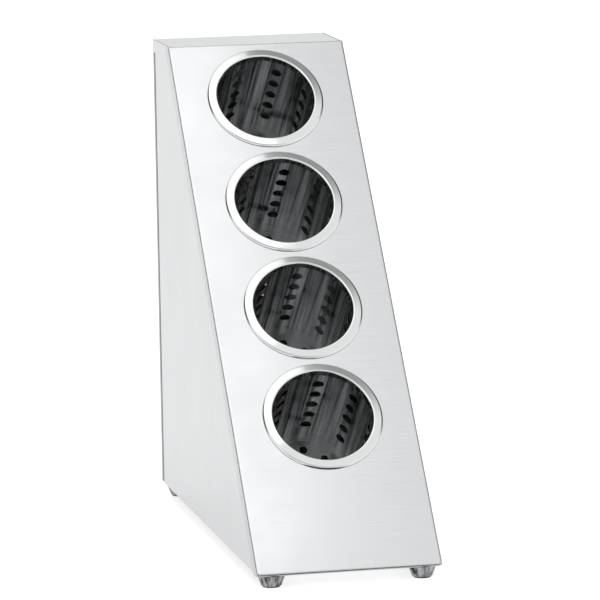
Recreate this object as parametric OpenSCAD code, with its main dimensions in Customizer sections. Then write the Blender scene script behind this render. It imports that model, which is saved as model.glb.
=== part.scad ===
// Countertop cutlery dispenser: a wedge-shaped sheet-steel housing with round holes in its slanted front.
// A perforated cylinder hangs by its rim in each hole and lifts straight out.
// Origin: on the counter, in the middle of the footprint. +Z is up, the slanted front faces -Y. Millimetres.

/* [Housing] */
// Width over the flanges of the front panel
body_w = 182; // [176:1:220]
// Height of the housing, without the feet
body_h = 466; // [440:1:480]
// Depth of the flat top
top_depth = 89; // [80:1:100]
// Depth of the housing at the bottom, to the sharp corner of the front
base_depth = 487; // [470:1:510]
// Sheet thickness
sheet_t = 1; // [0.8:0.1:1.5]
// Outer radius of the folds
fold_r = 2; // [1.6:0.1:2.5]
// Depth of the front panel's side flanges
front_flange = 13; // [8:0.5:18]
// Width of the returns inside the housing
return_w = 15; // [12:0.5:18]
// Width of the bottom returns, which carry the feet
foot_return_w = 25; // [23:0.5:34]
// Gap at the open seams
seam_gap = 0.8; // [0.4:0.1:1.5]

/* [Rear] */
// Depth of the rail that the top panel has down the back
rear_rail_h = 12.5; // [10:0.5:60]
// Depth of the rear cover's side flanges
cover_flange = 8.5; // [6:0.5:12]
// Gap between the rear cover's flanges and the side panels
cover_gap = 2.5; // [1:0.5:4]
// Rows of screws in the rear cover
cover_rows = 3; // [2:1:4]
// Distance of the screws from the sides of the housing
cover_screw_inset = 9; // [8.5:0.5:10]
// Distance of the outer screws from the rear cover's ends
cover_screw_end = 40; // [20:1:80]

/* [Front holes] */
// Number of holes and cylinders
hole_count = 4; // [4:1:4]
// Diameter of each hole
hole_d = 102.4; // [101.5:0.1:104]
// Distance of the lowest hole's centre from the bottom corner, along the front
first_hole = 172.5; // [171:0.5:176]
// Distance from hole to hole
hole_pitch = 124.5; // [123.5:0.5:125]

/* [Cylinders] */
// Inner diameter of the tube
tube_id = 97.2; // [94:0.1:97.4]
// Wall of the tube and of the bottom
tube_t = 0.8; // [0.6:0.1:1]
// Depth from the front panel to the underside of the bottom
tube_depth = 118; // [112:1:120]
// Diameter of the rim
rim_d = 118.5; // [114:0.5:122]
// Height of the rim above the front panel
rim_h = 3.2; // [3:0.1:4.5]
// Diameter of the perforations in the wall
perf_d = 11; // [6:0.1:12]
// Columns of perforations round the wall
perf_columns = 8; // [6:1:10]
// Perforations in each column
perf_rows = 5; // [3:1:5]
// Distance of the first perforation from the front panel
perf_first = 20; // [16:0.5:24]
// Distance from perforation to perforation along the wall
perf_pitch = 19.5; // [12:0.5:20]
// Drain holes in the ring round the middle of the bottom
drain_count = 8; // [4:1:10]

/* [Feet] */
// Height of the feet
foot_h = 12; // [8:0.5:20]
// Diameter of the feet at the top
foot_top_d = 28; // [22:0.5:32]
// Diameter of the feet at the bottom
foot_base_d = 21; // [17:0.5:22]
// Distance of the feet's centres from the sides of the housing
foot_inset_x = 17; // [15:0.5:30]
// Distance of the feet's centres from the front corner and from the back
foot_inset_y = 16.5; // [15:0.5:40]

/* [Hidden] */
$fn = 96;

brushed = [0.83, 0.84, 0.84];
polished = [0.92, 0.93, 0.93];
shadowed = [0.6, 0.61, 0.62];
rubber = [0.12, 0.12, 0.13];

// The rear cover's screw heads reach furthest back, and the fold at the bottom reaches furthest forward.
screw_head_h = 2.4;
front_angle = atan2(body_h, base_depth - top_depth);
front_length = body_h / sin(front_angle);
fold_run = fold_r / tan(front_angle / 2);
fold_front = fold_run - fold_r;
front_return = foot_inset_y + foot_return_w / 2 - fold_run;
front_y = -(base_depth + screw_head_h + fold_front) / 2;
back_y = front_y + base_depth;
body_z = foot_h;
top_z = body_z + body_h;
corner_relief = fold_r + 0.5;
top_lip = 8;

// The sides stand inside the front panel's flanges, and the top and base fit between the sides.
side_x = body_w / 2 - sheet_t;
inner_x = side_x - sheet_t;
cover_top_z = top_z - rear_rail_h - seam_gap;
side_back_y = back_y - cover_flange - cover_gap;

tube_r = tube_id / 2;
tube_outer_r = tube_r + tube_t;
rim_gap = 0.3;
rim_neck_h = 3;
rim_flare_w = 2.4;
rim_flare = 9.6;
rim_lip_r = 1.6;
rim_edge_r = 2.6;
rim_edge_end = 17;
arc_steps = 6;
small_hole_steps = 32;
bottom_drain_d = 8;
bottom_drain_ring_r = 30;

// First column of perforations on each cylinder, from +X towards the top. They stand as they were dropped in.
turns = [19.6, 32.5, 40, 37.5];

screw_d = 4;
screw_shank_d = 3.2;
screw_hole_d = 4.5;
screw_head_d = 8;
screw_length = 8;
standoff_d = 7;
standoff_bore_d = 3.3;
cross_slot_d = 3.6;
cross_slot_w = 1;
cross_slot_depth = 1.2;
foot_screw_d = 5;
foot_screw_head_d = 9;
foot_screw_head_h = 3;
foot_screw_hole_d = 5.5;
foot_screw_socket_d = 3.4;
foot_screw_socket_depth = 1.6;
foot_nut_af = 8;
foot_nut_h = 4;
foot_nut_bore_d = 5.1;
foot_washer_d = 9;
foot_washer_t = 1;
foot_pad_r = foot_base_d / 2 - 2.2;
foot_pad_h = 2;
foot_pad_proud = 0.8;
foot_round_r = 2.5;
foot_recess_r = foot_screw_head_d / 2 + 0.5;
foot_screw_head_z = foot_pad_proud + 1;
foot_seat_z = foot_screw_head_z + foot_screw_head_h;

// How far cutting bodies reach past what they cut.
cut = 1;

function cover_screw_z(row) = body_z + cover_screw_end
    + row * (cover_top_z - body_z - 2 * cover_screw_end) / (cover_rows - 1);

// Puts children at a distance up the slanted front, with +Z out of the front and +Y up it.
module on_front(distance) {
    translate([0, front_y, body_z])
        rotate([front_angle, 0, 0])
            translate([0, distance, 0]) children();
}

// A bend in the sheet, round the origin: it starts straight below and turns clockwise.
module bend(sweep) {
    reach = 4 * fold_r;
    intersection() {
        difference() {
            circle(fold_r);
            circle(fold_r - sheet_t);
        }
        polygon([[0, 0], [0, -reach], [-reach * sin(sweep), -reach * cos(sweep)]]);
    }
}

// Two legs of folded sheet: one runs along X, the other along Y, and the outer corner is the origin.
module folded_sheet(leg_x, leg_y) {
    translate([fold_r, 0]) square([leg_x - fold_r, sheet_t]);
    translate([0, fold_r]) square([sheet_t, leg_y - fold_r]);
    translate([fold_r, fold_r]) bend(90);
}

// A channel: a web of the given width along X, and two flanges along Y.
module folded_channel(width, flange) {
    for (side = [0, 1])
        mirror([side, 0]) translate([-width / 2, 0]) folded_sheet(width / 2, flange);
}

module at_feet() {
    for (x = [-1, 1], y = [front_y + foot_inset_y, back_y - foot_inset_y])
        translate([x * (body_w / 2 - foot_inset_x), y, 0]) children();
}

module at_cover_screws() {
    for (x = [-1, 1], row = [0 : cover_rows - 1])
        translate([x * (body_w / 2 - cover_screw_inset), back_y, cover_screw_z(row)])
            rotate([-90, 0, 0]) children();
}

// Puts a profile that is drawn as seen from the right across the housing, over the given width.
module across(width) {
    translate([-width / 2, 0, 0]) rotate([90, 0, 90]) linear_extrude(width) children();
}

// The acute fold at the bottom of the front, with its return under the base plate.
module bottom_fold_profile() {
    translate([fold_run, 0]) square([front_return, sheet_t]);
    translate([fold_run, fold_r]) bend(180 - front_angle);
    rotate(front_angle) translate([fold_run, -sheet_t]) square([corner_relief, sheet_t]);
}

// The folds of the top panel: a lip behind the front, and the rail down the back.
// The sharp front corner is the origin.
module top_fold_profile() {
    front_bend = sheet_t / sin(front_angle) + fold_r * tan(front_angle / 2);
    translate([front_bend, -sheet_t]) square([top_depth - fold_r - front_bend, sheet_t]);
    translate([front_bend, -fold_r]) {
        mirror([0, 1]) bend(front_angle);
        rotate(front_angle) translate([-top_lip, fold_r - sheet_t]) square([top_lip, sheet_t]);
    }
    translate([top_depth - fold_r, -fold_r]) rotate(180) bend(90);
    translate([top_depth - sheet_t, -rear_rail_h]) square([sheet_t, rear_rail_h - fold_r]);
}

module front_panel() {
    color(brushed) difference() {
        union() {
            intersection() {
                on_front(fold_run) rotate([-90, 0, 0])
                    linear_extrude(front_length) folded_channel(body_w, front_flange);
                translate([-body_w, front_y - cut, body_z]) cube([2 * body_w, base_depth, body_h]);
            }
            translate([0, front_y, body_z]) across(body_w - 2 * corner_relief) bottom_fold_profile();
        }
        for (i = [0 : hole_count - 1])
            on_front(first_hole + i * hole_pitch)
                cylinder(d = hole_d, h = 4 * sheet_t, center = true);
        foot_holes();
    }
}

module top_panel() {
    front_top_y = back_y - top_depth;
    color(brushed) {
        translate([0, front_top_y + 2 * corner_relief, top_z]) rotate([-90, 0, 0])
            linear_extrude(top_depth - 3 * corner_relief) folded_channel(2 * inner_x, return_w);
        translate([0, front_top_y, top_z]) across(2 * (inner_x - corner_relief)) top_fold_profile();
        translate([-inner_x, back_y - sheet_t, top_z - rear_rail_h])
            cube([2 * inner_x, sheet_t, rear_rail_h - corner_relief]);
    }
}

module side_panel() {
    front_inner = fold_r / sin(front_angle);
    top_front = body_h / tan(front_angle) + front_inner;
    return_front = fold_run + front_return + seam_gap;
    cover_front = base_depth - cover_flange - cover_gap;
    cover_top = cover_top_z - body_z;
    back_return_top = min(cover_top, body_h - return_w - seam_gap);
    color(brushed) {
        translate([-side_x, front_y, body_z]) rotate([90, 0, 90]) linear_extrude(sheet_t)
            polygon([
                [front_inner + fold_r / tan(front_angle), fold_r], [fold_run + fold_r, 0],
                [return_front, 0], [return_front, fold_r],
                [cover_front - fold_r, fold_r], [cover_front - fold_r, cover_top],
                [base_depth, cover_top], [base_depth, body_h], [top_front, body_h]
            ]);
        // Return along the bottom.
        translate([-side_x, side_back_y - fold_r, body_z]) rotate([90, 0, 0])
            linear_extrude(cover_front - fold_r - return_front) folded_sheet(foot_return_w, 2 * fold_r);
        // Return down the back, which carries the rear cover.
        translate([-side_x, side_back_y, body_z + fold_r]) mirror([0, 1, 0])
            linear_extrude(back_return_top - fold_r) folded_sheet(return_w, 2 * fold_r);
    }
}

module side_panel_left() {
    difference() {
        side_panel();
        standoff_seats();
        foot_holes();
    }
}

module side_panel_right() {
    mirror([1, 0, 0]) side_panel_left();
}

module standoff_seats() {
    at_cover_screws() translate([0, 0, -cover_flange - cover_gap - 2 * sheet_t])
        cylinder(d = screw_d, h = 3 * sheet_t);
}

module foot_holes() {
    at_feet() translate([0, 0, body_z - cut]) cylinder(d = foot_screw_hole_d, h = 4 * sheet_t + cut);
}

module rear_cover() {
    bottom_return_w = 2 * (side_x - fold_r) - seam_gap;
    color(brushed) difference() {
        union() {
            translate([0, back_y, body_z + fold_r]) mirror([0, 1, 0])
                linear_extrude(cover_top_z - body_z - fold_r) folded_channel(2 * side_x, cover_flange);
            translate([-bottom_return_w / 2, back_y, body_z]) rotate([90, 0, 90])
                linear_extrude(bottom_return_w) mirror([1, 0]) folded_sheet(cover_flange, 2 * fold_r);
        }
        at_cover_screws() cylinder(d = screw_hole_d, h = 4 * sheet_t, center = true);
    }
}

module base_plate() {
    plate_front = front_y + fold_run + 2 * fold_r;
    plate_back = side_back_y - sheet_t - seam_gap;
    color(brushed) difference() {
        union() {
            translate([0, plate_front + return_w, body_z + sheet_t]) rotate([90, 0, 180])
                linear_extrude(plate_back - plate_front - return_w)
                    folded_channel(2 * inner_x, return_w - fold_r);
            translate([fold_r - inner_x, plate_front, body_z + sheet_t])
                cube([2 * (inner_x - fold_r), return_w + fold_r, sheet_t]);
        }
        foot_holes();
    }
}

module perforations(k) {
    for (column = [0 : perf_columns - 1], row = [0 : perf_rows - 1])
        rotate([0, 0, turns[k - 1] + column * 360 / perf_columns])
            translate([tube_r - 2 * cut, 0, -perf_first - row * perf_pitch])
                rotate([0, 90, 0]) cylinder(d = perf_d, h = tube_t + 4 * cut, $fn = small_hole_steps);
}

// Cylinder 1 hangs in the top hole.
module in_hole(k) {
    on_front(first_hole + (hole_count - k) * hole_pitch) children();
}

module cylinder_tube(k) {
    color(polished) in_hole(k) difference() {
        translate([0, 0, -tube_depth + tube_t])
            difference() {
                cylinder(r = tube_outer_r, h = tube_depth - tube_t - rim_neck_h);
                translate([0, 0, -cut]) cylinder(r = tube_r, h = tube_depth + 2 * cut);
            }
        perforations(k);
    }
}

module cylinder_base(k) {
    color(polished) in_hole(k) translate([0, 0, -tube_depth]) difference() {
        cylinder(r = tube_outer_r, h = tube_t);
        translate([0, 0, -cut]) cylinder(d = bottom_drain_d, h = tube_t + 2 * cut, $fn = small_hole_steps);
        for (i = [0 : drain_count - 1])
            rotate([0, 0, i * 360 / drain_count + turns[k - 1]]) translate([bottom_drain_ring_r, 0, -cut])
                cylinder(d = bottom_drain_d, h = tube_t + 2 * cut, $fn = small_hole_steps);
    }
}

// Points on an arc, which is drawn in short straight steps.
function arc(centre, r, from, to) =
    [for (i = [0 : arc_steps]) let (turn = from + (to - from) * i / arc_steps)
        centre + r * [cos(turn), sin(turn)]];

// Section through the rim: it flares from the tube to a tight lip, and slopes down to a rolled outer edge.
module rim_profile() {
    lip = [tube_r + rim_flare_w, rim_h - rim_lip_r];
    edge = [rim_d / 2 - rim_edge_r * cos(rim_edge_end), rim_gap - (rim_edge_r - tube_t) * sin(rim_edge_end)];
    run = edge - lip;
    meet = atan2(run.y, run.x) + acos((rim_lip_r - rim_edge_r) / norm(run));
    polygon(concat(
        [[tube_r, -rim_neck_h]],
        arc(lip, rim_lip_r, 180 - rim_flare, meet),
        arc(edge, rim_edge_r, meet, rim_edge_end),
        arc(edge, rim_edge_r - tube_t, rim_edge_end, meet),
        arc(lip, rim_lip_r - tube_t, meet, 180 - rim_flare),
        [[tube_r + tube_t, -rim_neck_h]]
    ));
}

module cylinder_rim(k) {
    color(polished) in_hole(k) rotate_extrude() rim_profile();
}

// Section through a foot: a tapered cup with a rounded lower edge, open at the bottom.
module foot_profile() {
    base_r = foot_base_d / 2;
    top_r = foot_top_d / 2;
    floor_z = foot_pad_proud;
    difference() {
        union() {
            translate([0, foot_round_r + floor_z])
                polygon([[0, 0], [base_r, 0], [top_r, foot_h - foot_round_r - floor_z],
                         [0, foot_h - foot_round_r - floor_z]]);
            translate([0, floor_z]) square([base_r - foot_round_r, foot_round_r + cut]);
            translate([base_r - foot_round_r, floor_z + foot_round_r]) circle(foot_round_r);
        }
        translate([-foot_top_d, -cut]) square([foot_top_d, foot_h + 2 * cut]);
        square([foot_pad_r, foot_pad_h]);
        square([foot_recess_r, foot_seat_z]);
        square([foot_screw_hole_d / 2, foot_h + cut]);
    }
}

module foot(x, y) {
    color(polished)
        translate([x * (body_w / 2 - foot_inset_x),
                   y > 0 ? back_y - foot_inset_y : front_y + foot_inset_y, 0])
            rotate_extrude() foot_profile();
}

module foot_pads() {
    color(rubber) at_feet() difference() {
        cylinder(r = foot_pad_r, h = foot_pad_h);
        translate([0, 0, -cut]) cylinder(r = foot_recess_r, h = foot_pad_h + 2 * cut);
    }
}

module foot_screws() {
    shank_top = body_z + 2 * sheet_t + foot_washer_t + foot_nut_h + 1;
    color(shadowed) at_feet() {
        difference() {
            translate([0, 0, foot_screw_head_z]) cylinder(d = foot_screw_head_d, h = foot_screw_head_h);
            translate([0, 0, foot_screw_head_z - cut])
                cylinder(d = foot_screw_socket_d, h = foot_screw_socket_depth + cut, $fn = 6);
        }
        translate([0, 0, foot_seat_z]) cylinder(d = foot_screw_d, h = shank_top - foot_seat_z);
    }
}

module foot_washers() {
    color(shadowed) at_feet() translate([0, 0, body_z + 2 * sheet_t]) difference() {
        cylinder(d = foot_washer_d, h = foot_washer_t);
        translate([0, 0, -cut]) cylinder(d = foot_screw_hole_d, h = foot_washer_t + 2 * cut);
    }
}

module foot_nuts() {
    color(shadowed) at_feet() translate([0, 0, body_z + 2 * sheet_t + foot_washer_t]) difference() {
        cylinder(d = foot_nut_af / cos(30), h = foot_nut_h, $fn = 6);
        translate([0, 0, -cut]) cylinder(d = foot_nut_bore_d, h = foot_nut_h + 2 * cut);
    }
}

module cover_standoffs() {
    length = cover_flange + cover_gap - sheet_t;
    color(shadowed) at_cover_screws() translate([0, 0, -sheet_t - length]) difference() {
        union() {
            cylinder(d = standoff_d, h = length);
            translate([0, 0, -sheet_t]) cylinder(d = screw_d, h = sheet_t);
        }
        translate([0, 0, -2 * cut]) cylinder(d = standoff_bore_d, h = length + 4 * cut);
    }
}

module cover_screws() {
    color(shadowed) at_cover_screws() difference() {
        union() {
            cylinder(d = screw_head_d, h = screw_head_h);
            translate([0, 0, -screw_length]) cylinder(d = screw_shank_d, h = screw_length);
        }
        for (turn = [0, 90]) rotate([0, 0, turn])
            translate([-cross_slot_d / 2, -cross_slot_w / 2, screw_head_h - cross_slot_depth])
                cube([cross_slot_d, cross_slot_w, cross_slot_depth + cut]);
    }
}

front_panel();
top_panel();
side_panel_left();
side_panel_right();
rear_cover();
base_plate();
for (k = [1 : hole_count]) {
    cylinder_tube(k);
    cylinder_base(k);
    cylinder_rim(k);
}
foot(-1, -1);  // foot_front_left
foot(1, -1);  // foot_front_right
foot(-1, 1);  // foot_back_left
foot(1, 1);  // foot_back_right
foot_pads();
foot_screws();
foot_washers();
foot_nuts();
cover_screws();
cover_standoffs();
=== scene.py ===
"""Looks for a countertop cutlery dispenser: a brushed steel wedge with four perforated cylinders."""

import logging
import math
from dataclasses import dataclass, field
from enum import Enum
from typing import Any

import bmesh
import bpy
from bpy.types import Material, Node, NodeSocket, NodeTree, Object
from mathutils import Matrix, Vector


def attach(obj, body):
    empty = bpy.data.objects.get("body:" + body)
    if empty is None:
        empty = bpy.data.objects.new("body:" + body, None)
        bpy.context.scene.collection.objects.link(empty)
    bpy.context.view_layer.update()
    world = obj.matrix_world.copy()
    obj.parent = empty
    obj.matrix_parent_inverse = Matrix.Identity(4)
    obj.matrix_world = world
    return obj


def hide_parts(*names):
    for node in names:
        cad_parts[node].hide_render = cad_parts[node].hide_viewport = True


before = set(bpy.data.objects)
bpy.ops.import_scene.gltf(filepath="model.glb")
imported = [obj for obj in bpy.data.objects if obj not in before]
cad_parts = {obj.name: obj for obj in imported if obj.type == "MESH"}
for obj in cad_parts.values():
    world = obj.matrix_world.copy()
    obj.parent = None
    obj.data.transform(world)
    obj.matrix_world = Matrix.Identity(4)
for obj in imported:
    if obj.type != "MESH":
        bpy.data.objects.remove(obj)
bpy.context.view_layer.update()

LOG = logging.getLogger("dispenser")
MM = 0.001
NOISE_REACH = (0.3, 0.7)  # most of a noise texture's values lie between these
PAINTED_SHADE_REACH = (0.9, 0.97)  # how squarely a face looks one way when it starts to take its painted shade, and does
WELD_DISTANCE = 0.01  # points nearer than this are made one, in millimetres
Point = tuple[float, float]


def srgb(hex_colour: str) -> tuple[float, float, float, float]:
    """Turns an sRGB hex colour into linear light.

    Args:
        hex_colour: Six hex digits, such as "d8dadb".

    Returns:
        Red, green, blue and an alpha of 1.
    """
    parts = [int(hex_colour[i:i + 2], 16) / 255 for i in (0, 2, 4)]
    r, g, b = (p / 12.92 if p <= 0.04045 else ((p + 0.055) / 1.055) ** 2.4 for p in parts)
    return r, g, b, 1.0


def add_node(
    tree: NodeTree,
    kind: str,
    settings: dict[str, Any] | None = None,
    values: dict[str | int, Any] | None = None,
    links: dict[str | int, NodeSocket] | None = None,
) -> Node:
    """Adds a shader node with its settings and links.

    Args:
        tree: The node tree.
        kind: The node's type, without "ShaderNode".
        settings: Attributes of the node.
        values: Values of its unlinked inputs.
        links: Outputs of other nodes that feed its inputs.

    Returns:
        The node.
    """
    node = tree.nodes.new("ShaderNode" + kind)
    for key, value in (settings or {}).items():
        setattr(node, key, value)
    for key, value in (values or {}).items():
        node.inputs[key].default_value = value
    for key, socket in (links or {}).items():
        tree.links.new(socket, node.inputs[key])
    return node


class Grain(Enum):
    """How a metal surface was worked."""

    STRAIGHT = "straight"
    SPUN = "spun"


@dataclass(frozen=True)
class PaintedFacingShade:
    """Painted shade on the faces of a sheet that look one way: the front's side flanges are painted darker, and
    the sides' cut edges are painted near black as the shadow in the seam under the top panel.
    """

    towards: tuple[float, float, float]
    colour: str


@dataclass(frozen=True)
class MetalFinish:
    """A worked metal surface, with lines that follow the tool.

    Colours are sRGB hex, and sizes are in millimetres. grain_size is the size of one line along the turned
    piece's own X, Y and Z. For spun work it is the width of a line across the radius and the height. On the
    cylinder walls and the feet, the dark and bright lines in the colour are painted reflections, and the
    painted shades darken the faces that look one way.
    """

    name: str
    light: str
    dark: str
    roughness: float
    roughness_spread: float
    grain: Grain
    grain_size: tuple[float, float, float]
    bump: float
    turn: float = 0.0
    centre: tuple[float, float, float] = (0.0, 0.0, 0.0)
    contrast: float = 1.0
    edge_r: float = 0.0
    painted_shades: tuple[PaintedFacingShade, ...] = ()
    cloud_size: float = 60.0
    cloud_spread: float = 0.03

    def build(self) -> Material:
        """Makes the material.

        Returns:
            The node material.
        """
        material = bpy.data.materials.new(self.name)
        material.use_nodes = True
        tree = material.node_tree
        tree.nodes.clear()
        coordinates = add_node(tree, "TexCoord").outputs
        place = coordinates["Object"]
        turned = add_node(
            tree, "Mapping", {"vector_type": "TEXTURE"},
            {"Location": [c * MM for c in self.centre], "Rotation": (self.turn, 0, 0)}, {"Vector": place},
        ).outputs["Vector"]
        lines = self._lines(tree, turned)
        clouds = add_node(
            tree, "TexNoise", {}, {"Scale": 1 / (self.cloud_size * MM), "Detail": 2.0}, {"Vector": place},
        ).outputs["Fac"]
        colour = add_node(
            tree, "Mix", {"data_type": "RGBA"}, {"A": srgb(self.dark), "B": srgb(self.light)},
            {"Factor": lines},
        ).outputs[2]
        # Paints shade onto the faces that look squarely along the given axis, either way, by mixing in the shade
        # colour there.
        for painted_shade in self.painted_shades:
            along = add_node(
                tree, "VectorMath", {"operation": "DOT_PRODUCT"}, {1: painted_shade.towards},
                {0: coordinates["Normal"]},
            ).outputs["Value"]
            either = add_node(tree, "Math", {"operation": "ABSOLUTE"}, {}, {0: along}).outputs[0]
            faces = add_node(
                tree, "MapRange", {}, {"From Min": PAINTED_SHADE_REACH[0], "From Max": PAINTED_SHADE_REACH[1]},
                {"Value": either},
            ).outputs["Result"]
            colour = add_node(
                tree, "Mix", {"data_type": "RGBA"}, {"B": srgb(painted_shade.colour)},
                {"Factor": faces, "A": colour},
            ).outputs[2]
        rough_lines = add_node(
            tree, "MapRange", {},
            {"From Min": NOISE_REACH[0], "From Max": NOISE_REACH[1],
             "To Min": self.roughness - self.roughness_spread,
             "To Max": self.roughness + self.roughness_spread}, {"Value": lines},
        ).outputs["Result"]
        rough_clouds = add_node(
            tree, "MapRange", {},
            {"From Min": NOISE_REACH[0], "From Max": NOISE_REACH[1], "To Min": -self.cloud_spread,
             "To Max": self.cloud_spread}, {"Value": clouds},
        ).outputs["Result"]
        rough = add_node(tree, "Math", {"operation": "ADD"}, {}, {0: rough_lines, 1: rough_clouds}).outputs[0]
        bump = add_node(
            tree, "Bump", {}, {"Strength": 1.0, "Distance": self.bump * MM}, {"Height": lines},
        )
        if self.edge_r:
            rounded = add_node(tree, "Bevel", {"samples": 6}, {"Radius": self.edge_r * MM}).outputs["Normal"]
            tree.links.new(rounded, bump.inputs["Normal"])
        shader = add_node(
            tree, "BsdfPrincipled", {}, {"Metallic": 1.0},
            {"Base Color": colour, "Roughness": rough, "Normal": bump.outputs["Normal"]},
        )
        add_node(tree, "OutputMaterial", {}, {}, {"Surface": shader.outputs[0]})
        return material

    def _lines(self, tree: NodeTree, turned: NodeSocket) -> NodeSocket:
        """Adds the lines that the tool left. On the cylinder walls and the feet they are painted reflections, in
        dark and bright bands.

        Args:
            tree: The node tree.
            turned: Coordinates in the piece's own directions, in metres.

        Returns:
            The lines, as numbers from 0 to 1.
        """
        scale = [1 / (s * MM) for s in self.grain_size]
        if self.grain is Grain.SPUN:
            split = add_node(tree, "SeparateXYZ", {}, {}, {0: turned})
            flat = add_node(
                tree, "CombineXYZ", {}, {"Z": 0.0}, {"X": split.outputs["X"], "Y": split.outputs["Y"]},
            ).outputs[0]
            radius = add_node(tree, "VectorMath", {"operation": "LENGTH"}, {}, {0: flat}).outputs["Value"]
            turned = add_node(
                tree, "CombineXYZ", {}, {"Y": 0.0}, {"X": radius, "Z": split.outputs["Z"]},
            ).outputs[0]
        scaled = add_node(
            tree, "VectorMath", {"operation": "MULTIPLY"}, {1: scale}, {0: turned},
        ).outputs["Vector"]
        noise = add_node(
            tree, "TexNoise", {}, {"Scale": 1.0, "Detail": 3.0, "Roughness": 0.6}, {"Vector": scaled},
        ).outputs["Fac"]
        reach = 0.5 / self.contrast
        return add_node(
            tree, "MapRange", {}, {"From Min": 0.5 - reach, "From Max": 0.5 + reach}, {"Value": noise},
        ).outputs["Result"]


@dataclass(frozen=True)
class RubberFinish:
    """Moulded nitrile rubber: matt and nearly black, with a fine spark-eroded grain."""

    name: str = "moulded_nitrile_rubber"
    colour: str = "1c1c1d"
    worn: str = "2b2b2c"
    grain_size: float = 0.8
    grain_depth: float = 0.05

    def build(self) -> Material:
        """Makes the material.

        Returns:
            The node material.
        """
        material = bpy.data.materials.new(self.name)
        material.use_nodes = True
        tree = material.node_tree
        tree.nodes.clear()
        place = add_node(tree, "TexCoord").outputs["Object"]
        grain = add_node(
            tree, "TexNoise", {}, {"Scale": 1 / (self.grain_size * MM), "Detail": 3.0}, {"Vector": place},
        ).outputs["Fac"]
        colour = add_node(
            tree, "Mix", {"data_type": "RGBA"}, {"A": srgb(self.colour), "B": srgb(self.worn)},
            {"Factor": grain},
        ).outputs[2]
        bump = add_node(
            tree, "Bump", {}, {"Strength": 0.6, "Distance": self.grain_depth * MM}, {"Height": grain},
        ).outputs[0]
        shader = add_node(
            tree, "BsdfPrincipled", {}, {"Roughness": 0.75, "IOR": 1.52},
            {"Base Color": colour, "Normal": bump},
        )
        add_node(tree, "OutputMaterial", {}, {}, {"Surface": shader.outputs[0]})
        return material


@dataclass(frozen=True)
class Front:
    """Where the slanted front and the feet stand. Sizes are in millimetres, as in the CAD model."""

    body_h: float = 466.0
    base_depth: float = 487.0
    top_depth: float = 89.0
    body_z: float = 12.0
    fold_r: float = 2.0
    screw_head_h: float = 2.4
    first_hole: float = 172.5
    hole_pitch: float = 124.5
    hole_count: int = 4
    foot_x: float = 74.0
    foot_inset_y: float = 16.5

    @property
    def angle(self) -> float:
        """The front's slope, from the horizontal, in radians."""
        return math.atan2(self.body_h, self.base_depth - self.top_depth)

    @property
    def front_y(self) -> float:
        """Where the sharp corner of the front would stand."""
        fold_front = self.fold_r / math.tan(self.angle / 2) - self.fold_r
        return -(self.base_depth + self.screw_head_h + fold_front) / 2

    @property
    def back_y(self) -> float:
        """Where the back stands."""
        return self.front_y + self.base_depth

    def hole(self, k: int) -> Matrix:
        """Gives the place of a hole, with +Z out of the front and +Y up it.

        Args:
            k: The cylinder's number, from 1 at the top.

        Returns:
            The place, in millimetres.
        """
        distance = self.first_hole + (self.hole_count - k) * self.hole_pitch
        return (
            Matrix.Translation((0, self.front_y, self.body_z))
            @ Matrix.Rotation(self.angle, 4, "X")
            @ Matrix.Translation((0, distance, 0))
        )


def arc(centre: Point, radius: float, start: float, end: float, steps: int) -> list[Point]:
    """Gives points on an arc.

    Args:
        centre: The arc's centre.
        radius: Its radius.
        start: Where it starts, in degrees.
        end: Where it ends, in degrees.
        steps: How many straight steps it takes.

    Returns:
        The points, both ends included.
    """
    turns = [math.radians(start + (end - start) * i / steps) for i in range(steps + 1)]
    return [(centre[0] + radius * math.cos(t), centre[1] + radius * math.sin(t)) for t in turns]


def spun(profile: list[Point], steps: int) -> bmesh.types.BMesh:
    """Turns a closed outline round the Z axis.

    Args:
        profile: The outline, as radius and height in millimetres.
        steps: How many steps the full turn takes.

    Returns:
        The closed mesh, in millimetres.
    """
    bm = bmesh.new()
    verts = [bm.verts.new((r, 0, z)) for r, z in profile]
    edges = [bm.edges.new(pair) for pair in zip(verts, verts[1:] + verts[:1])]
    bmesh.ops.spin(
        bm, geom=verts + edges, cent=(0, 0, 0), axis=(0, 0, 1), angle=math.tau, steps=steps, use_merge=True,
    )
    bmesh.ops.remove_doubles(bm, verts=bm.verts, dist=0.001)
    bmesh.ops.recalc_face_normals(bm, faces=bm.faces)
    return bm


def finish_piece(
    bm: bmesh.types.BMesh,
    name: str,
    place: Matrix,
    material: Material,
    body: str,
    sharp: float = 35.0,
) -> Object:
    """Puts a mesh in its place, gives it its finish and lets it ride on a body.

    Args:
        bm: The mesh, in millimetres. It is freed.
        name: The piece's name.
        place: Where it goes, in millimetres.
        material: Its finish.
        body: The CAD body that it moves with.
        sharp: Edges above this angle stay sharp, in degrees.

    Returns:
        The object.
    """
    bmesh.ops.transform(bm, matrix=Matrix.Scale(MM, 4) @ place, verts=bm.verts)
    for face in bm.faces:
        face.smooth = True
    mesh = bpy.data.meshes.new(name)
    bm.to_mesh(mesh)
    bm.free()
    mesh.set_sharp_from_angle(angle=math.radians(sharp))
    mesh.materials.append(material)
    piece = bpy.data.objects.new(name, mesh)
    bpy.context.scene.collection.objects.link(piece)
    weighted = piece.modifiers.new("even_shading", "WEIGHTED_NORMAL")
    weighted.keep_sharp = True
    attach(piece, body)
    LOG.info("%s: %d faces", name, len(mesh.polygons))
    return piece


def dress_node(node: str, material: Material) -> None:
    """Gives a CAD node its finish.

    Args:
        node: The node's name.
        material: Its finish.
    """
    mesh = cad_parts[node].data
    mesh.materials.clear()
    mesh.materials.append(material)
    LOG.info("%s: %s", node, material.name)


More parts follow.
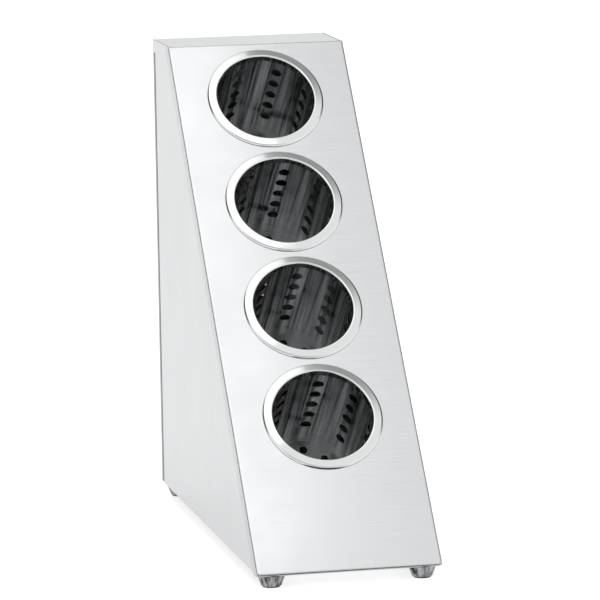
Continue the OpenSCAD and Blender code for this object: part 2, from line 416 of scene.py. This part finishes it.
@dataclass
class Housing:
    """The folded sheets of the housing, with what holds them together. Sizes are in millimetres."""

    front: Front
    sheet_t: float = 1.0
    shadow_strip_w: float = 156.0
    shadow_strip_t: float = 1.6
    shadow_strip_h: float = 12.0
    shadow_strip_z: float = 465.1

    def build(self) -> None:
        """Dresses the sheets. The grain runs across the front and top, and up the sides."""
        across = MetalFinish(
            # Stainless steel sheet, ground with a belt: pale, with long fine lines and a soft reflection. The
            # real lines are about 0.1 mm wide, and are drawn at 0.6 to 0.7 mm so that they show.
            "brushed_stainless_sheet", "e6e8e9", "d8dadb", 0.2, 0.05, Grain.STRAIGHT,
            (40.0, 0.7, 0.7), 0.0025, turn=self.front.angle, contrast=1.2, edge_r=2.2,
            # Painted shade: the side flanges, which look along X, are coloured darker than the rest of the sheet.
            painted_shades=(PaintedFacingShade((1, 0, 0), "d1d3d4"),),
        )
        level = MetalFinish(
            "brushed_stainless_sheet_top", "e5e7e8", "dadcdd", 0.2, 0.05, Grain.STRAIGHT,
            (40.0, 0.6, 0.6), 0.002,
        )
        upright = MetalFinish(
            "brushed_stainless_sheet_sides", "e5e7e8", "dadcdd", 0.22, 0.05, Grain.STRAIGHT,
            # Painted shadow: the faces that look up or down, the top cut edges among them, are coloured near
            # black for the seam under the top panel.
            (0.6, 0.6, 40.0), 0.002, painted_shades=(PaintedFacingShade((0, 0, 1), "1c1c1d"),),
        )
        dress_node("front_panel", across.build())
        top = level.build()
        for node in ("top_panel", "base_plate"):
            dress_node(node, top)
        side = upright.build()
        for node in ("side_panel_left", "side_panel_right"):
            dress_node(node, side)
        cover = MetalFinish(
            # Stainless steel as it leaves the mill: greyer and duller than the ground sheet, so the cover's
            # flange draws a dark line behind the side panel. Its lines are drawn coarser than the real ones.
            "mill_finish_stainless_cover", "aaacad", "9b9d9e", 0.34, 0.05, Grain.STRAIGHT,
            (0.8, 0.8, 60.0), 0.004,
        ).build()
        dress_node("rear_cover", cover)
        zinc = MetalFinish(
            # Zinc-plated steel: bluish grey and a little dull.
            "zinc_plated_steel", "c3c8cc", "aeb3b8", 0.3, 0.06, Grain.STRAIGHT, (0.8, 0.8, 0.8), 0.01,
        ).build()
        for node in ("cover_screws", "cover_standoffs", "foot_screws", "foot_washers", "foot_nuts"):
            dress_node(node, zinc)
        rubber = RubberFinish().build()
        dress_node("foot_pads", rubber)
        # A near-black rubber strip in the seam above the rear cover is a painted shadow for that seam.
        finish_piece(self._seam_shadow_strip(), "rear_seam_shadow_strip", Matrix(), rubber, "housing")

    def _seam_shadow_strip(self) -> bmesh.types.BMesh:
        """Makes the near-black rubber strip that sits in the seam above the rear cover, from inside: a painted
        shadow that makes the seam show dark.

        Returns:
            The closed mesh.
        """
        back = self.front.back_y - self.sheet_t
        bm = bmesh.new()
        place = Matrix.Translation((0, back - self.shadow_strip_t / 2, self.shadow_strip_z)) @ Matrix.Diagonal(
            (self.shadow_strip_w, self.shadow_strip_t, self.shadow_strip_h, 1)
        )
        bmesh.ops.create_cube(bm, size=1.0, matrix=place)
        bmesh.ops.bevel(
            bm, geom=bm.edges[:], offset=self.shadow_strip_t / 4, segments=3, profile=0.5, affect="EDGES",
            material=-1, clamp_overlap=True,
        )
        return bm


@dataclass
class PerforatedWall:
    """The wall of a cylinder: a rolled sheet with columns of punched holes. Sizes are in millimetres."""

    inner_r: float = 48.6
    thickness: float = 0.8
    top: float = -3.0
    bottom: float = -117.2
    columns: int = 8
    rows: int = 5
    hole_d: float = 11.0
    first: float = -20.0
    pitch: float = 19.5
    edge_round: float = 0.18
    corner_angle: float = 50.0
    cuts: int = 6

    def mesh(self) -> bmesh.types.BMesh:
        """Makes the wall round the Z axis, with its first column towards +X.

        Returns:
            The closed mesh.
        """
        bm = bmesh.new()
        self._column(bm)
        width = math.tau * self.inner_r / self.columns
        column = list(bm.verts) + list(bm.edges) + list(bm.faces)
        for i in range(1, self.columns):
            copy = bmesh.ops.duplicate(bm, geom=column)["geom"]
            verts = [v for v in copy if isinstance(v, bmesh.types.BMVert)]
            bmesh.ops.translate(bm, verts=verts, vec=(i * width, 0, 0))
        bmesh.ops.remove_doubles(bm, verts=bm.verts, dist=WELD_DISTANCE)
        for vert in bm.verts:
            turn = vert.co.x / self.inner_r
            vert.co = Vector((self.inner_r * math.cos(turn), self.inner_r * math.sin(turn), vert.co.y))
        bmesh.ops.remove_doubles(bm, verts=bm.verts, dist=WELD_DISTANCE)
        bmesh.ops.recalc_face_normals(bm, faces=bm.faces)
        face = bm.faces[:][0]
        if face.normal.dot(face.calc_center_median() * Vector((1, 1, 0))) > 0:
            bmesh.ops.reverse_faces(bm, faces=bm.faces)
        bmesh.ops.solidify(bm, geom=bm.faces[:], thickness=self.thickness)
        corner = math.radians(self.corner_angle)
        edges = [e for e in bm.edges if len(e.link_faces) == 2 and e.calc_face_angle() > corner]
        bmesh.ops.bevel(
            bm, geom=edges, offset=self.edge_round, segments=2, profile=0.5, affect="EDGES", material=-1,
            clamp_overlap=True,
        )
        bmesh.ops.recalc_face_normals(bm, faces=bm.faces)
        return bm

    def _column(self, bm: bmesh.types.BMesh) -> None:
        """Adds one flat column: its punched squares, the plain strip beside them and both margins.

        Args:
            bm: The mesh to add to.
        """
        half = self.pitch / 2
        bmesh.ops.create_grid(bm, x_segments=self.cuts, y_segments=self.cuts, size=half)
        bmesh.ops.delete(bm, geom=bm.faces[:], context="FACES_KEEP_BOUNDARY")
        bmesh.ops.create_circle(bm, segments=4 * self.cuts, radius=self.hole_d / 2)
        bridge = bmesh.ops.bridge_loops(bm, edges=bm.edges[:])
        spokes = [e for e in bridge["edges"] if abs(e.verts[0].co.length - e.verts[1].co.length) > 1]
        bmesh.ops.subdivide_edgering(bm, edges=spokes, cuts=1, interp_mode="LINEAR", profile_shape_factor=0.0)
        cell = list(bm.verts) + list(bm.edges) + list(bm.faces)
        bmesh.ops.translate(bm, verts=bm.verts, vec=(0, self.first, 0))
        for row in range(1, self.rows):
            copy = bmesh.ops.duplicate(bm, geom=cell)["geom"]
            verts = [v for v in copy if isinstance(v, bmesh.types.BMVert)]
            bmesh.ops.translate(bm, verts=verts, vec=(0, -row * self.pitch, 0))
        strip = math.tau * self.inner_r / self.columns - self.pitch
        high = self.first + half
        low = high - self.rows * self.pitch
        for left, right in ((-half, half), (half, half + strip)):
            self._patch(bm, left, right, high, self.top, 3)
            self._patch(bm, left, right, self.bottom, low, 3)
        for row in range(self.rows):
            top = high - row * self.pitch
            self._patch(bm, half, half + strip, top - self.pitch, top, self.cuts)
        bmesh.ops.remove_doubles(bm, verts=bm.verts, dist=WELD_DISTANCE)

    def _patch(
        self, bm: bmesh.types.BMesh, left: float, right: float, low: float, high: float, cuts: int,
    ) -> None:
        """Adds a plain flat patch of the wall.

        Args:
            bm: The mesh to add to.
            left: Its left side, along the wall.
            right: Its right side.
            low: Its lower side.
            high: Its upper side.
            cuts: How many faces high it is.
        """
        place = Matrix.Translation(((left + right) / 2, (low + high) / 2, 0)) @ Matrix.Diagonal(
            (right - left, high - low, 1, 1)
        )
        bmesh.ops.create_grid(bm, x_segments=self.cuts, y_segments=cuts, size=0.5, matrix=place)


@dataclass
class Rim:
    """The polished rim: a flare, a tight lip and a rolled outer edge. Sizes are in millimetres."""

    inner_r: float = 48.6
    thickness: float = 0.8
    outer_r: float = 59.25
    height: float = 3.2
    neck_h: float = 3.0
    flare_w: float = 2.4
    flare: float = 9.6
    lip_r: float = 1.6
    edge_r: float = 2.6
    edge_end: float = 17.0
    gap: float = 0.3

    def mesh(self) -> bmesh.types.BMesh:
        """Makes the rim round the Z axis, with the front panel's face at 0.

        Returns:
            The closed mesh.
        """
        end = math.radians(self.edge_end)
        lip = (self.inner_r + self.flare_w, self.height - self.lip_r)
        edge = (
            self.outer_r - self.edge_r * math.cos(end),
            self.gap - (self.edge_r - self.thickness) * math.sin(end),
        )
        run_x, run_y = edge[0] - lip[0], edge[1] - lip[1]
        meet = math.degrees(
            math.atan2(run_y, run_x) + math.acos((self.lip_r - self.edge_r) / math.hypot(run_x, run_y))
        )
        profile = [
            (self.inner_r, -self.neck_h),
            *arc(lip, self.lip_r, 180 - self.flare, meet, 8),
            *arc(edge, self.edge_r, meet, self.edge_end, 12),
            *arc(edge, self.edge_r - self.thickness, self.edge_end, meet, 10),
            *arc(lip, self.lip_r - self.thickness, meet, 180 - self.flare, 6),
            (self.inner_r + self.thickness, -self.neck_h),
        ]
        return spun(profile, 160)


@dataclass
class CutleryCylinder:
    """One cylinder: its rim, its perforated wall with the weld seam, and its bottom."""

    number: int
    front: Front
    turn: float
    seam_column: int
    seam_offset: float = -9.0
    seam_w: float = 1.3
    seam_proud: float = 0.12
    seam_round: float = 0.08
    rim: Rim = field(default_factory=Rim)
    wall: PerforatedWall = field(default_factory=PerforatedWall)

    def build(self) -> None:
        """Makes the pieces and dresses them."""
        body = f"cylinder_{self.number}"
        hole = self.front.hole(self.number)
        turned = hole @ Matrix.Rotation(math.radians(self.turn), 4, "Z")
        centre = tuple(hole.translation)
        polished = MetalFinish(
            # Stainless steel, mirror polished on a lathe: bright, with hardly a line. The real rings are about
            # 0.05 mm wide, and are drawn at 0.5 mm so that they show.
            f"polished_stainless_rim_{self.number}", "eceded", "e6e7e8", 0.09, 0.02, Grain.SPUN,
            (0.5, 0.5, 0.5), 0.0006, turn=self.front.angle, centre=centre, cloud_spread=0.01,
        ).build()
        drawn = MetalFinish(
            # Rolled stainless steel sheet, a little uneven where the rolls left it, as its bump shows. The dark
            # and bright streaks that run along the cylinder in its colour are painted reflections. The streaks'
            # height is drawn stronger than the real one, so that they show.
            f"rolled_stainless_wall_{self.number}", "ebeced", "303132", 0.15, 0.05, Grain.STRAIGHT,
            (5.5, 5.5, 260.0), 0.16, turn=self.front.angle, centre=centre, contrast=4.0,
        ).build()
        rim = finish_piece(self.rim.mesh(), f"{body}_polished_rim", hole, polished, body)
        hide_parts(f"{body}_rim")
        wall = finish_piece(self.wall.mesh(), f"{body}_wall", turned, drawn, body)
        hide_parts(f"{body}_tube")
        # The weld seam takes the wall's finish, painted reflection streaks included.
        finish_piece(self._seam(), f"{body}_weld_seam", turned, drawn, body)
        spun_bottom = MetalFinish(
            # Turned stainless steel disc: rings from the lathe, and a dull shine. The real rings are about
            # 0.1 mm wide, and are drawn at 1.6 mm so that they show.
            f"turned_stainless_bottom_{self.number}", "b4b5b6", "98999a", 0.3, 0.05, Grain.SPUN,
            (1.6, 1.6, 1.6), 0.01, turn=self.front.angle, centre=centre,
        ).build()
        dress_node(f"{body}_base", spun_bottom)

    def _seam(self) -> bmesh.types.BMesh:
        """Makes the low bead where the rolled sheet is welded.

        Returns:
            The closed mesh.
        """
        wall = self.wall
        bm = bmesh.new()
        length = wall.top - wall.bottom
        place = Matrix.Translation((wall.inner_r, 0, (wall.top + wall.bottom) / 2)) @ Matrix.Diagonal(
            (2 * self.seam_proud, self.seam_w, length, 1)
        )
        bmesh.ops.create_cube(bm, size=1.0, matrix=place)
        long_edges = [e for e in bm.edges if abs(e.verts[0].co.z - e.verts[1].co.z) > 1]
        bmesh.ops.bevel(
            bm, geom=long_edges, offset=self.seam_round, segments=2, profile=0.5, affect="EDGES", material=-1,
            clamp_overlap=True,
        )
        turn = math.radians(self.seam_column * 360 / wall.columns + self.seam_offset)
        bmesh.ops.rotate(bm, verts=bm.verts, cent=(0, 0, 0), matrix=Matrix.Rotation(turn, 3, "Z"))
        return bm


@dataclass
class Foot:
    """A drawn and polished steel cup on a rubber pad. Sizes are in millimetres."""

    name: str
    x: float
    y: float
    height: float = 12.0
    top_r: float = 14.0
    base_r: float = 10.5
    round_r: float = 2.5
    floor: float = 0.8
    pad_r: float = 8.3
    pad_h: float = 2.0
    head_r: float = 5.0
    seat: float = 4.8
    shank_r: float = 2.75
    chamfer: float = 0.35

    def build(self, material: Material) -> None:
        """Makes the cup and dresses it.

        Args:
            material: The polished finish.
        """
        centre = (self.base_r - self.round_r, self.floor + self.round_r)
        reach = math.degrees(math.acos((self.pad_r - centre[0]) / self.round_r))
        lean = (self.top_r - self.base_r) / (self.height - centre[1])
        profile = [
            (self.shank_r, self.seat), (self.shank_r, self.height),
            (self.top_r - self.chamfer, self.height),
            (self.top_r - self.chamfer * lean, self.height - self.chamfer),
            *arc(centre, self.round_r, 0, -reach, 10),
            (self.pad_r, self.pad_h), (self.head_r, self.pad_h), (self.head_r, self.seat),
        ]
        place = Matrix.Translation((self.x, self.y, 0))
        cup = finish_piece(spun(profile, 72), f"{self.name}_cup", place, material, "housing")
        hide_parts(self.name)


@dataclass(frozen=True)
class Flag:
    """A dark card that stood beside the object, as the metal shows it."""

    towards: tuple[float, float, float]
    inner: float
    outer: float
    darkness: float


@dataclass
class Studio:
    """The plain pale floor, the soft light and the camera. Sizes are in metres."""

    flags: tuple[Flag, ...] = (
        Flag((-0.15, -0.98, 0.05), 20.0, 46.0, 0.5),
        Flag((-0.84, 0.22, 0.49), 12.0, 30.0, 0.95),
        Flag((0.8, 0.16, 0.56), 12.0, 30.0, 0.95),
        Flag((0.42, 0.17, 0.89), 13.0, 27.0, 0.62),
        Flag((0.21, 0.96, 0.16), 18.0, 36.0, 0.15),
    )
    ambient: float = 0.85
    ceiling: float = 0.9
    floor_glow: float = 0.74
    floor_shine: float = 0.46
    floor_colour: str = "c8c8c8"
    floor_half: float = 20.0
    lamp_place: tuple[float, float, float] = (-0.42, -0.55, 1.9)
    lamp_size: tuple[float, float] = (1.5, 1.3)
    lamp_power: float = 2.95
    lamp_turn: float = 10.5
    card_place: tuple[float, float, float] = (-0.003, -0.42, 0.002)
    card_half: tuple[float, float] = (0.11, 0.17)
    card_colour: str = "2a2a2a"
    lens: float = 280.019
    place: tuple[float, float, float] = (-0.97048, -4.48263, 0.97295)
    azimuth: float = -12.3207
    elevation: float = 9.1151
    roll: float = -0.9495

    def build(self) -> None:
        """Makes the world, the floor, the card, the lamp and the camera."""
        self._world()
        self._floor()
        self._card()
        self._lamp()
        self._camera()

    def _world(self) -> None:
        """Makes the pale surroundings: white behind the object, and dark cards that only metal shows."""
        world = bpy.data.worlds.new("studio")
        bpy.context.scene.world = world
        world.use_nodes = True
        tree = world.node_tree
        tree.nodes.clear()
        direction = add_node(tree, "TexCoord").outputs["Generated"]
        height = add_node(tree, "SeparateXYZ", {}, {}, {0: direction}).outputs["Z"]
        light = add_node(
            tree, "MapRange", {"interpolation_type": "SMOOTHSTEP"},
            {"From Min": 0.35, "From Max": 0.8, "To Min": 1.0, "To Max": self.ceiling}, {"Value": height},
        ).outputs["Result"]
        for flag in self.flags:
            along = add_node(
                tree, "VectorMath", {"operation": "DOT_PRODUCT"}, {1: Vector(flag.towards).normalized()},
                {0: direction},
            ).outputs["Value"]
            outer, inner = (math.cos(math.radians(angle)) for angle in (flag.outer, flag.inner))
            shade = add_node(
                tree, "MapRange", {"interpolation_type": "SMOOTHSTEP"},
                {"From Min": outer, "From Max": inner, "To Min": 1.0, "To Max": 1.0 - flag.darkness},
                {"Value": along},
            ).outputs["Result"]
            light = add_node(tree, "Math", {"operation": "MULTIPLY"}, {}, {0: light, 1: shade}).outputs[0]
        path = add_node(tree, "LightPath").outputs
        plain = add_node(
            tree, "Math", {"operation": "MAXIMUM"}, {},
            {0: path["Is Camera Ray"], 1: path["Is Transmission Ray"]},
        ).outputs[0]
        soft = add_node(
            tree, "Mix", {"data_type": "FLOAT"}, {"A": self.ambient},
            {"Factor": path["Is Glossy Ray"], "B": light},
        ).outputs[0]
        level = add_node(
            tree, "Mix", {"data_type": "FLOAT"}, {"B": 1.0}, {"Factor": plain, "A": soft},
        ).outputs[0]
        back = add_node(tree, "Background", {}, {"Color": (1, 1, 1, 1)}, {"Strength": level})
        add_node(tree, "OutputWorld", {}, {}, {"Surface": back.outputs[0]})

    def _floor(self) -> None:
        """Makes the pale floor, which keeps the object's shadow."""
        material = bpy.data.materials.new("white_paper_sweep")
        material.use_nodes = True
        tree = material.node_tree
        tree.nodes.clear()
        path = add_node(tree, "LightPath").outputs
        seen = add_node(
            tree, "Math", {"operation": "MAXIMUM"}, {}, {0: path["Is Camera Ray"], 1: path["Is Glossy Ray"]},
        ).outputs[0]
        seen = add_node(
            tree, "Math", {"operation": "MAXIMUM"}, {}, {0: seen, 1: path["Is Transmission Ray"]},
        ).outputs[0]
        level = add_node(
            tree, "Mix", {"data_type": "FLOAT"}, {"A": self.floor_glow, "B": self.floor_shine},
            {"Factor": path["Is Glossy Ray"]},
        ).outputs[0]
        glow = add_node(tree, "Math", {"operation": "MULTIPLY"}, {}, {0: seen, 1: level}).outputs[0]
        shader = add_node(
            tree, "BsdfPrincipled", {},
            {"Base Color": srgb(self.floor_colour), "Roughness": 0.9, "Specular IOR Level": 0.0,
             "Emission Color": (1, 1, 1, 1)},
            {"Emission Strength": glow},
        )
        add_node(tree, "OutputMaterial", {}, {}, {"Surface": shader.outputs[0]})
        self._sheet("floor", Matrix.Diagonal((self.floor_half, self.floor_half, 1, 1)), material)

    def _card(self) -> None:
        """Lays a black card in front of the object. Only metal shows it: it draws the lower edge."""
        material = bpy.data.materials.new("black_card")
        material.use_nodes = True
        tree = material.node_tree
        tree.nodes.clear()
        shader = add_node(
            tree, "BsdfPrincipled", {},
            {"Base Color": srgb(self.card_colour), "Roughness": 0.9, "Specular IOR Level": 0.0},
        )
        add_node(tree, "OutputMaterial", {}, {}, {"Surface": shader.outputs[0]})
        place = Matrix.Translation(self.card_place) @ Matrix.Diagonal((*self.card_half, 1, 1))
        card = self._sheet("black_card", place, material)
        card.visible_camera = False
        card.visible_diffuse = False
        card.visible_shadow = False
        card.visible_transmission = False

    def _sheet(self, name: str, place: Matrix, material: Material) -> Object:
        """Makes a flat square that is part of the studio.

        Args:
            name: Its name.
            place: Its place and half sizes, in metres.
            material: Its finish.

        Returns:
            The object.
        """
        bm = bmesh.new()
        bmesh.ops.create_grid(bm, x_segments=1, y_segments=1, size=1.0, matrix=place)
        mesh = bpy.data.meshes.new(name)
        bm.to_mesh(mesh)
        bm.free()
        mesh.materials.append(material)
        sheet = bpy.data.objects.new(name, mesh)
        bpy.context.scene.collection.objects.link(sheet)
        return sheet

    def _lamp(self) -> None:
        """Makes the soft lamp overhead. It stands to the left, so the front falls off to the right."""
        data = bpy.data.lights.new("softbox", "AREA")
        data.shape = "RECTANGLE"
        data.size, data.size_y = self.lamp_size
        data.energy = self.lamp_power
        lamp = bpy.data.objects.new("softbox", data)
        lamp.location = self.lamp_place
        lamp.rotation_euler.z = math.radians(self.lamp_turn)
        bpy.context.scene.collection.objects.link(lamp)

    def _camera(self) -> None:
        """Makes the camera at the photograph's viewing angle."""
        data = bpy.data.cameras.new("camera")
        data.lens = self.lens
        data.sensor_width = 36.0
        data.clip_end = 100.0
        camera = bpy.data.objects.new("camera", data)
        a, e = math.radians(self.azimuth), math.radians(self.elevation)
        back = Vector((math.sin(a) * math.cos(e), -math.cos(a) * math.cos(e), math.sin(e)))
        turn = (-back).to_track_quat("-Z", "Y").to_matrix().to_4x4()
        camera.matrix_world = (
            Matrix.Translation(self.place) @ turn @ Matrix.Rotation(math.radians(self.roll), 4, "Z")
        )
        bpy.context.scene.collection.objects.link(camera)
        bpy.context.scene.camera = camera


def main() -> None:
    """Builds the object and the studio in order."""
    logging.basicConfig(level=logging.INFO, format="%(name)s: %(message)s")
    bpy.context.scene.view_settings.view_transform = "Standard"
    front = Front()
    Housing(front).build()
    for number, turn, seam in ((1, 19.6, 5), (2, 32.5, 6), (3, 40.0, 1), (4, 37.5, 0)):
        CutleryCylinder(number, front, turn, seam).build()
    steel = MetalFinish(
        # Deep-drawn stainless steel, polished: the draw marks run down the sides in its bump. The dark and bright
        # bands in its colour are painted reflections. Real marks are under 1 mm wide, and are drawn at 4.5 mm so
        # that they show.
        "drawn_stainless_foot_painted_reflections", "bcbebf", "303132", 0.1, 0.03, Grain.STRAIGHT, (4.5, 4.5, 60.0), 0.015,
        contrast=4.0,
    ).build()
    inset = front.foot_inset_y
    for end, y in (("front", front.front_y + inset), ("back", front.back_y - inset)):
        for hand, side in (("left", -1), ("right", 1)):
            Foot(f"foot_{end}_{hand}", side * front.foot_x, y).build(steel)
    Studio().build()


if __name__ == "__main__":
    main()
